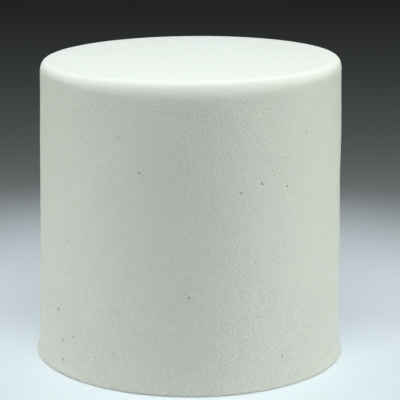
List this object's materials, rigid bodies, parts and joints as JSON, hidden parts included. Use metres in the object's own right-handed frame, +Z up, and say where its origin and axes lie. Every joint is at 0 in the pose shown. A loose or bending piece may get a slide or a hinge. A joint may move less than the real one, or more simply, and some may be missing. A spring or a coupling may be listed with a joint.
{
  "type": "layer cake",
  "caption": "Tall round uncut cake coated in smooth white buttercream, with a soft rounded top edge, a near-upright wall and a slight spread at the foot.",
  "frame": {"origin": "middle of the flat base, on the surface the cake stands on", "axes": "+Z up along the cake's own axis, +Y away from the picture's camera, +X to the picture's right"},
  "size_m": [0.1698, 0.1672, 0.1641],
  "materials": {
    "buttercream": "smooth satin buttercream, near white, with a faint diagonal scraper ripple and small air-bubble pits"
  },
  "bodies": {
    "root": {"cake": "buttercream"}
  },
  "joints": []
}
